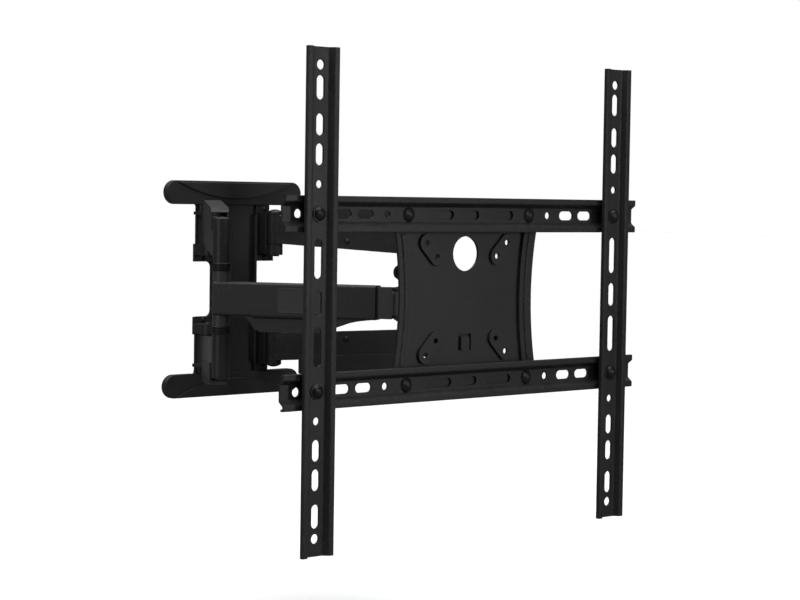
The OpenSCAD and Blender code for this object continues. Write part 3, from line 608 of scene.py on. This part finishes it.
def formed(node, front, forms, rest):
    """Rounds the convex edges at each depth by its own radius, and all the others finely."""
    bm = merged_copy(node)
    for depth, radius in forms:
        def at_depth(place, edge):
            flat = all(abs(v.co.y / MM - front - depth) < DEPTH_SLACK for v in edge.verts)
            return flat and edge.is_convex
        round_edges(bm, turning_edges(bm, at_depth), radius, 3)
    round_edges(bm, turning_edges(bm), rest)
    add_piece(f"{node}_formed", bm, node, [node])


formed("centre_plate", tv_plane, PLATE_FORMS, 0.3)
for cover in ("top_cover", "bottom_cover"):
    formed(cover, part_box(cover)[0][1] / MM, COVER_FORMS, 0.25)

# %% [markdown]
# ## Turned pieces
#
# Screws, rivets, pins and rings are all round, so each starts as half of its outline and is
# spun a full turn. The outline is a list of radius and height, in millimetres. Where it
# touches the axis the spin leaves a ring of points in one place, so doubles are merged. Then
# the faces are turned outwards, and the sharp rims rounded.
#
# The CAD file keeps all copies of a fastener in one node. To find where each one stands, the
# node is walked from point to point into its separate solids. One finished shape is then
# copied to every place, turned so that its +Z looks the way that the head does.

# %% Spin, find, copy


def turned(profile, steps=32, closed=False, rim=0.2):
    """A bmesh of a profile of (radius, height) points in mm, spun round Z, with round rims."""
    bm = bmesh.new()
    chain = [bm.verts.new((radius * MM, 0, height * MM)) for radius, height in profile]
    pairs = list(zip(chain, chain[1:]))
    if closed:
        pairs.append((chain[-1], chain[0]))
    edges = [bm.edges.new(pair) for pair in pairs]
    bmesh.ops.spin(
        bm, geom=chain + edges, cent=(0, 0, 0), axis=(0, 0, 1), angle=math.tau, steps=steps,
        use_merge=True, use_duplicate=False)
    bmesh.ops.remove_doubles(bm, verts=bm.verts, dist=SAME_POINT)
    bmesh.ops.recalc_face_normals(bm, faces=bm.faces)
    if rim:
        round_edges(bm, turning_edges(bm, lambda place, edge: edge.is_convex), rim)
    return bm


def dome(radius, rise, base, steps=5):
    """Profile points of a low dome, from its rim to its top on the axis."""
    ball = (radius ** 2 + rise ** 2) / (2 * rise)
    full = math.asin(radius / ball)
    angles = [full * (1 - i / steps) for i in range(steps + 1)]
    return [(ball * math.sin(a), base + rise - ball * (1 - math.cos(a))) for a in angles]


def solids_of(node):
    """The points of every separate solid in a CAD node, in mm, one list each."""
    bm = merged_copy(node)
    seen = set()
    found = []
    for start in bm.verts:
        if start in seen:
            continue
        seen.add(start)
        walk = [start]
        for vert in walk:
            fresh = [e.other_vert(vert) for e in vert.link_edges if e.other_vert(vert) not in seen]
            seen.update(fresh)
            walk.extend(fresh)
        found.append([vert.co / MM for vert in walk])
    bm.free()
    return found


def box_of(points):
    """Lowest and highest corner of some points."""
    return tuple(Vector([pick(p[i] for p in points) for i in range(3)]) for pick in (min, max))


def place_at(point, facing):
    """The matrix that takes the origin to a point in mm, and +Z to a direction."""
    turn = Vector(facing).to_track_quat("Z", "Y").to_matrix().to_4x4()
    return Matrix.Translation(Vector(point) * MM) @ turn


def copies(name, node, shape, places, stands_in=True):
    """Copies a finished shape to every place, and makes the copies one piece."""
    pattern = bpy.data.meshes.new("pattern")
    shape.to_mesh(pattern)
    shape.free()
    bm = bmesh.new()
    for place in places:
        first = len(bm.verts)
        bm.from_mesh(pattern)
        bm.verts.ensure_lookup_table()
        bmesh.ops.transform(bm, matrix=place, verts=bm.verts[first:])
    bpy.data.meshes.remove(pattern)
    add_piece(name, bm, node, [node] if stands_in else [])


def tails(node, facing_of):
    """Where each solid's tail end lies on its axis, with its facing, and the solids' length."""
    places = []
    for points in solids_of(node):
        low, high = box_of(points)
        facing = Vector(facing_of((low + high) / 2))
        axis = max(range(3), key=lambda i: abs(facing[i]))
        tail = (low + high) / 2
        tail[axis] = low[axis] if facing[axis] > 0 else high[axis]
        places.append(place_at(tail, facing))
        length = high[axis] - low[axis]
    return places, length


def to_room(centre):
    """Facing of fasteners that are put in from the room."""
    return (0, -1, 0)


def outward(centre):
    """Facing of the pairs that lie left and right of the middle."""
    return (math.copysign(1, centre.x), 0, 0)


def upward(centre):
    """Facing of pins that hang by their heads."""
    return (0, 0, 1)


def from_middle(centre):
    """Facing of the pairs that lie above and below the middle."""
    return (0, 0, math.copysign(1, centre.z))


# %% [markdown]
# ## Rivets, pins and plugs
#
# Rivet heads are domes with a short upright rim, as a snap tool leaves them. The pins of the
# pivots have a low domed head at one end, and a chamfer and a groove at the other. The pins in
# the yoke also carry an open retaining ring, a flat section spun most of the way round.

# %% Rivets and plugs
HEAD_R = 6.6
SHANK_R = 4.0
BACK_RISE = 2.0
FRONT_RISE = 3.4
WALL_JOINT = {"left": "fold", "right": "rear_right_turn"}

places, length = tails("rail_rivets", to_room)
seat = length - FRONT_RISE
back_dome = [(r, BACK_RISE - h) for r, h in reversed(dome(6.0, BACK_RISE, 0))]
copies("rail_rivets_domed", "rail_rivets", turned(
    back_dome + [(SHANK_R, BACK_RISE), (SHANK_R, seat), (HEAD_R, seat)]
    + dome(HEAD_R - 0.15, FRONT_RISE - 0.5, seat + 0.5), steps=36, rim=0), places)

places, length = tails("bracket_rivets", to_room)
copies("bracket_rivets_domed", "bracket_rivets", turned(
    [(0, 0), (1.8, 0), (1.8, length - 1.4), (2.8, length - 1.4)]
    + dome(2.7, 1.15, length - 1.15), steps=24, rim=0), places)

for side, wall_joint in WALL_JOINT.items():
    node_name = f"arm_plugs_{side}"
    along = (axis_of[f"elbow_{side}"] - axis_of[wall_joint]).normalized()
    inner = along.cross(Vector((0, 0, 1 if side == "left" else -1))) * -1
    crowns = [max(points, key=inner.dot) for points in solids_of(node_name)]
    copies(f"{node_name}_domed", node_name, turned(
        [(0, -3.2), (2.0, -3.2), (2.0, -1.2), (3.2, -1.2)] + dome(3.1, 0.95, -0.95),
        steps=24, rim=0), [place_at(crown, inner) for crown in crowns])

# %% Pins
PIN_R = 5.0
RING_SWEEP = math.radians(305)   # how far round an open retaining ring goes


def pin_profile(length, head_r, rise):
    """A pin with a chamfered and grooved tail and a domed head."""
    seat = length - rise
    return [
        (0, 0), (PIN_R - 0.6, 0), (PIN_R, 0.5), (PIN_R, 0.8), (PIN_R - 0.4, 0.9),
        (PIN_R - 0.4, 1.2), (PIN_R, 1.3), (PIN_R, seat), (head_r, seat)
    ] + dome(head_r - 0.15, rise - 0.5, seat + 0.5)


def add_retaining_ring(bm, low, high):
    """A flat ring with a gap, spun from one small upright face."""
    first = len(bm.verts)
    corners = [(PIN_R - 0.3, low), (PIN_R + 1.6, low), (PIN_R + 1.6, high), (PIN_R - 0.3, high)]
    section = bm.faces.new([bm.verts.new((r * MM, 0, h * MM)) for r, h in corners])
    bmesh.ops.spin(
        bm, geom=[section], cent=(0, 0, 0), axis=(0, 0, 1), angle=RING_SWEEP, steps=28,
        use_merge=False, use_duplicate=False)
    bm.verts.ensure_lookup_table()
    ring = set(bm.verts[first:])
    bmesh.ops.recalc_face_normals(bm, faces=[f for f in bm.faces if f.verts[0] in ring])


places, length = tails("wall_pins", from_middle)
pin = turned(pin_profile(length, PIN_R + 2.6, 3.0), rim=0)
copies("wall_pins_turned", "wall_pins", pin, places)
for node_name in ("yoke_pins", "swivel_pin"):
    places, length = tails(node_name, upward)
    pin = turned(pin_profile(length, PIN_R + 1.6, 1.4), rim=0)
    add_retaining_ring(pin, 0.8, 1.8)
    copies(f"{node_name}_turned", node_name, pin, places)

# %% [markdown]
# ## Threads, hexagons and knurls
#
# A thread is the outline of its teeth spun once while it climbs by one pitch. The end of the
# spin then meets the start of the next tooth, and merging doubles makes one endless helix,
# which two cutting planes trim to length. A hexagon needs no new mesh: the rings of a turned
# nut or socket are pushed inwards until they lie on six flats. A knurl is made the same way,
# by pulling in every second point of a ring.

# %% Thread, hexagon, knurl
TOOTH = 0.55         # depth of a thread's tooth, as a share of its pitch
KNURL = 0.04         # how far a knurl's grooves go in, as a share of the radius
RING_SLACK = 0.02    # points this near to a ring's radius and heights belong to it


def add_thread(bm, radius, high, pitch, steps=18):
    """Adds a helical thread, trimmed flat at height zero and at its top, to a bmesh."""
    rod = bmesh.new()
    teeth = [(radius - TOOTH * pitch * (k % 2), (k / 2 - 2) * pitch)
             for k in range(int(2 * high / pitch) + 7)]
    chain = [rod.verts.new((r * MM, 0, h * MM)) for r, h in teeth]
    edges = [rod.edges.new(pair) for pair in zip(chain, chain[1:])]
    bmesh.ops.spin(
        rod, geom=chain + edges, cent=(0, 0, 0), axis=(0, 0, 1), angle=math.tau, steps=steps,
        dvec=(0, 0, pitch * MM / steps), use_merge=False, use_duplicate=False)
    bmesh.ops.remove_doubles(rod, verts=rod.verts, dist=SAME_POINT)
    for height, facing in ((0, -1), (high, 1)):
        bmesh.ops.bisect_plane(
            rod, geom=rod.verts[:] + rod.edges[:] + rod.faces[:], dist=1e-7,
            plane_co=(0, 0, height * MM), plane_no=(0, 0, facing), clear_outer=True)
        bmesh.ops.holes_fill(rod, edges=[e for e in rod.edges if e.is_boundary and all(
            abs(v.co.z - height * MM) < 1e-6 for v in e.verts)], sides=0)
    bmesh.ops.recalc_face_normals(rod, faces=rod.faces)
    helix = bpy.data.meshes.new("helix")
    rod.to_mesh(helix)
    rod.free()
    bm.from_mesh(helix)
    bpy.data.meshes.remove(helix)


def push_ring(bm, radius, low, high, change):
    """Scales the points of one radius between two heights. Change gives the scale at an angle."""
    for vert in bm.verts:
        off = abs(vert.co.xy.length / MM - radius)
        if off < RING_SLACK and low - RING_SLACK < vert.co.z / MM < high + RING_SLACK:
            vert.co.xy = vert.co.xy * change(math.atan2(vert.co.y, vert.co.x))


def six_flats(angle):
    """Scale that takes a circle to the hexagon inside it."""
    return math.cos(math.tau / 12) / math.cos(angle % (math.tau / 6) - math.tau / 12)


def knurl(angle, teeth=24):
    """Scale that pulls in every second one of twice as many points."""
    return 1 - KNURL * (round(angle / math.tau * 2 * teeth) % 2)


# %% [markdown]
# ## Screws, bolts, nuts and washers
#
# The rails are clamped by round-headed bolts, with a washer in front and a flange nut behind.
# The tilt turns on two socket cap bolts with knurled heads and plain hex nuts. These stand at
# the front or the sides, so they are what the eye finds first.

# %% Rail fasteners
SCREW_R = 3.0
SCREW_BORE_R = SCREW_R + 0.05
SCREW_HEAD = 3.4     # height of the head
WASHER_R = 6.9
NUT_R = 5.8
FLANGE_R = 7.4

places, length = tails("rail_screws", to_room)
head = length - SCREW_HEAD
screw = turned(
    [(0, 8.6), (SCREW_R, 8.6), (SCREW_R, head), (6.0, head)] + dome(5.85, 2.9, head + 0.5),
    steps=36, rim=0)
add_thread(screw, SCREW_R, 9.0, 1.0)
copies("rail_screws_turned", "rail_screws", screw, places)

places, length = tails("rail_washers", to_room)
copies("rail_washers_turned", "rail_washers", turned(
    [(SCREW_BORE_R, 0), (WASHER_R, 0), (WASHER_R, length), (SCREW_BORE_R, length)],
    closed=True, rim=0.25, steps=36), places)

places, length = tails("rail_nuts", to_room)
nut = turned(
    [(SCREW_BORE_R, 0.4), (3.5, 0), (NUT_R - 0.9, 0), (NUT_R, 0.7), (NUT_R, length - 1.4),
     (6.6, length - 1.0), (FLANGE_R, length - 0.6), (FLANGE_R, length), (SCREW_BORE_R, length)],
    closed=True, rim=0, steps=36)
push_ring(nut, NUT_R, 0.7, length - 1.4, six_flats)
copies("rail_nuts_turned", "rail_nuts", nut, places)

# %% Tilt fasteners
BOLT_R = 4.0
COLLAR_R = 8.0
CAP_R = 6.2
HEX_R = 3.0
HEX_DEPTH = 3.0
BOLT_HEAD = 6.0      # height of the head and its collar
WIDE_BORE_R = BOLT_R + 0.05
WIDE_NUT_R = 7.2

places, length = tails("tilt_bolts", outward)
collar = length - BOLT_HEAD
bolt = turned(
    [(0, 6.6), (BOLT_R, 6.6), (BOLT_R, collar), (COLLAR_R - 0.2, collar), (COLLAR_R, collar + 0.2),
     (COLLAR_R, collar + 1.1), (COLLAR_R - 0.3, collar + 1.4), (CAP_R - 0.3, collar + 1.4),
     (CAP_R - 0.3, collar + 1.8), (CAP_R, collar + 2.0), (CAP_R, length - 0.9),
     (CAP_R - 0.6, length), (HEX_R + 0.5, length), (HEX_R, length - 0.3),
     (HEX_R, length - HEX_DEPTH), (0, length - HEX_DEPTH - 0.6)], steps=48, rim=0)
push_ring(bolt, CAP_R, collar + 2.0, length - 0.9, knurl)
push_ring(bolt, HEX_R, length - HEX_DEPTH, length - 0.3, six_flats)
add_thread(bolt, BOLT_R, 7.0, 1.25)
copies("tilt_bolts_turned", "tilt_bolts", bolt, places)

places, length = tails("tilt_nuts", outward)
nut = turned(
    [(WIDE_BORE_R, 0.5), (4.6, 0), (WIDE_NUT_R - 1.1, 0), (WIDE_NUT_R, 0.8),
     (WIDE_NUT_R, length - 0.8), (WIDE_NUT_R - 1.1, length), (WIDE_BORE_R, length)],
    closed=True, rim=0, steps=36)
push_ring(nut, WIDE_NUT_R, 0.8, length - 0.8, six_flats)
copies("tilt_nuts_turned", "tilt_nuts", nut, places)

# %% [markdown]
# ## Nylon rings and caps
#
# Every joint runs on nylon: thin washers with a shallow groove for grease, flanged bushes in
# the swivel, and tall bushes at the elbows with turned grooves round the outside. The outside
# and the bore of each ring are measured on its CAD solid. Moulded caps close the elbow tubes.

# %% Grooved washers
GREASE_GROOVE = 0.12   # depth of the groove in a washer


def ring_sizes(node, facing):
    """Bore and outer radius of a ring, from its points' distance to its axis."""
    points = solids_of(node)[0]
    low, high = box_of(points)
    axis = max(range(3), key=lambda i: abs(facing[i]))
    flat = [i for i in range(3) if i != axis]
    reach = [math.hypot(*(p[i] - (low[i] + high[i]) / 2 for i in flat)) for p in points]
    return min(reach), max(reach)


def washer_ring(node, facing_of):
    """A flat ring with a shallow grease groove in its outer face."""
    places, height = tails(node, facing_of)
    bore, outer = ring_sizes(node, facing_of(Vector((1, 0, 1))))
    mid = (bore + outer) / 2
    ring = turned(
        [(bore, 0), (outer, 0), (outer, height), (mid + 0.5, height),
         (mid + 0.3, height - GREASE_GROOVE), (mid - 0.3, height - GREASE_GROOVE),
         (mid - 0.5, height), (bore, height)],
        closed=True, rim=0.1, steps=40)
    copies(f"{node}_grooved", node, ring, places)


washer_ring("wall_washers", from_middle)
washer_ring("yoke_washers", from_middle)
washer_ring("friction_washers", outward)

# %% Bushes and caps
BUSH_GROOVES = (0.32, 0.68)   # where the grooves lie on a tall bush, as shares of its height
CHAMFER = 0.5
NECK_R = 6.5                  # the part of a swivel bush that sits in its hole

for side in ("left", "right"):
    node_name = f"elbow_bushes_{side}"
    places, height = tails(node_name, from_middle)
    bore, outer = ring_sizes(node_name, (0, 0, 1))
    grooves = []
    for share in BUSH_GROOVES:
        mid = height * share
        grooves += [(outer, mid - CHAMFER), (outer - CHAMFER, mid - 0.2),
                    (outer - CHAMFER, mid + 0.2), (outer, mid + CHAMFER)]
    bush = turned(
        [(bore, 0), (outer - CHAMFER, 0), (outer, CHAMFER)] + grooves
        + [(outer, height - CHAMFER), (outer - CHAMFER, height), (bore, height)],
        closed=True, rim=0, steps=48)
    copies(f"{node_name}_grooved", node_name, bush, places)

    node_name = f"elbow_caps_{side}"
    places, height = tails(node_name, from_middle)
    _, outer = ring_sizes(node_name, (0, 0, 1))
    cap = turned(
        [(0, 0), (outer, 0), (outer, 0.9), (outer - 0.3, 1.2), (outer - 0.9, 1.2),
         (outer - 1.0, 1.0), (outer - 1.3, 1.0), (outer - 1.4, 1.3)]
        + dome(outer - 1.6, height - 1.6, 1.4)[:-1]
        + [(0.9, height - 0.1), (0, height - 0.4)], rim=0, steps=40)
    copies(f"{node_name}_moulded", node_name, cap, places)

places, height = tails("swivel_bushes", from_middle)
bore, outer = ring_sizes("swivel_bushes", (0, 0, 1))
copies("swivel_bushes_flanged", "swivel_bushes", turned(
    [(bore, 0), (NECK_R - 0.2, 0), (NECK_R, 0.3), (NECK_R, height - 0.7),
     (outer - 0.1, height - 0.7), (outer, height - 0.6), (outer, height - 0.1),
     (outer - 0.1, height), (bore, height)], closed=True, rim=0, steps=40), places)

# %% [markdown]
# ## Blank plates on the arms
#
# A thin plate is let into the outer side of each sleeve. It is left blank. Its face gets a
# narrow raised border by insetting the big outer face and pushing the middle in a little.

# %% Blank plates
BORDER = 1.2
BORDER_R = 0.15
RECESS = 0.18

for side in ("left", "right"):
    node_name = f"face_plate_{side}"
    bm = merged_copy(node_name)
    along = (axis_of["yoke_turn"] - axis_of["elbow_left"]).normalized()
    outer = Vector((along.y, -along.x, 0)) if side == "left" else Vector((-along.y, -along.x, 0))
    face = max(bm.faces, key=lambda f: f.normal.dot(outer) * f.calc_area())
    facing = face.normal.copy()
    round_edges(bm, list(face.edges), BORDER_R)
    face = max(bm.faces, key=lambda f: f.normal.dot(facing) * f.calc_area())
    bmesh.ops.inset_individual(bm, faces=[face], thickness=BORDER * MM, depth=0.0)
    bmesh.ops.inset_individual(bm, faces=[face], thickness=RECESS * MM, depth=-RECESS * MM)
    add_piece(f"{node_name}_bordered", bm, node_name, [node_name])

# %% [markdown]
# ## Weld beads
#
# The arms' tubes are welded to round barrels. A bead is laid in short overlapping pools, so it
# looks like a stack of rings. A rippled rod is turned for it, and sunk half into the corner
# between tube and barrel on both sides. The front arms show theirs at the yoke.

# %% Welds
BEAD_R = 1.15
POOL = 1.3                  # length of one pool of weld
POOL_EDGE = 0.22            # how much thinner the bead is between two pools
REAR_BEAD = 26
FRONT_BEAD = 19
TUBE_AT_ELBOW = 51.2        # height of the middle of a rear tube where it meets the elbow
REAR_CORNER = (5.2, 7.2)    # how far the bead lies back from the axis, and aside of the tube
FRONT_CORNER = (6.0, 6.2)


def bead(length):
    """A rippled rod that starts at height zero."""
    count = int(2 * length / POOL) + 1
    rings = [(BEAD_R - POOL_EDGE * (i % 2), POOL * i / 2) for i in range(count)]
    return turned([(0, -0.6)] + rings + [(0, rings[-1][1] + 0.6)], steps=12, rim=0)


def bead_places(axis, along, back, aside, starts):
    """Where beads start: both sides of a tube that runs along a direction to an upright axis."""
    across_tube = along.cross(Vector((0, 0, 1)))
    corners = [axis / MM - along * back + across_tube * aside * sign for sign in (-1, 1)]
    return [place_at((c.x, c.y, start), (0, 0, 1)) for c in corners for start in starts]


for side, wall_joint in WALL_JOINT.items():
    elbow = axis_of[f"elbow_{side}"]
    along = (elbow - axis_of[wall_joint]).normalized()
    starts = [height - REAR_BEAD / 2 for height in (TUBE_AT_ELBOW, -TUBE_AT_ELBOW)]
    copies(f"rear_welds_{side}", f"rear_arm_upper_{side}", bead(REAR_BEAD),
           bead_places(elbow, along, *REAR_CORNER, starts), stands_in=False)
    yoke_axis = axis_of["yoke_turn"].copy()
    if side == "right":
        yoke_axis.x = -yoke_axis.x
    along = (yoke_axis - elbow).normalized()
    copies(f"front_welds_{side}", f"front_arm_{side}", bead(FRONT_BEAD),
           bead_places(yoke_axis, along, *FRONT_CORNER, [-FRONT_BEAD / 2]), stands_in=False)

# %% [markdown]
# ## Everything else, rounded
#
# The wall plate, arms, brackets, yoke and the other moulded pieces have plain cut, folded or
# moulded edges, so they get one radius each: larger on the thick tubes and plastic, finer on
# cut sheet.

# %% Softened pieces
EDGE_RADIUS = {"rear_arm": 0.9, "front_arm": 0.9, "cable_cover": 0.8, "cable_clip": 0.4,
               "arm_sleeve": 0.5, "bracket": 0.45, "yoke": 0.4, "tilt_bracket": 0.4}
LEAST_RADIUS = 0.3


def softened(node, radius):
    """A copy of a CAD node with all its sharp edges rounded."""
    bm = merged_copy(node)
    round_edges(bm, turning_edges(bm), radius)
    add_piece(f"{node}_rounded", bm, node, [node])


for node_name in frame["nodes"]:
    if node_name not in shaped:
        kind = next((k for k in EDGE_RADIUS if node_name.startswith(k)), None)
        softened(node_name, EDGE_RADIUS.get(kind, LEAST_RADIUS))
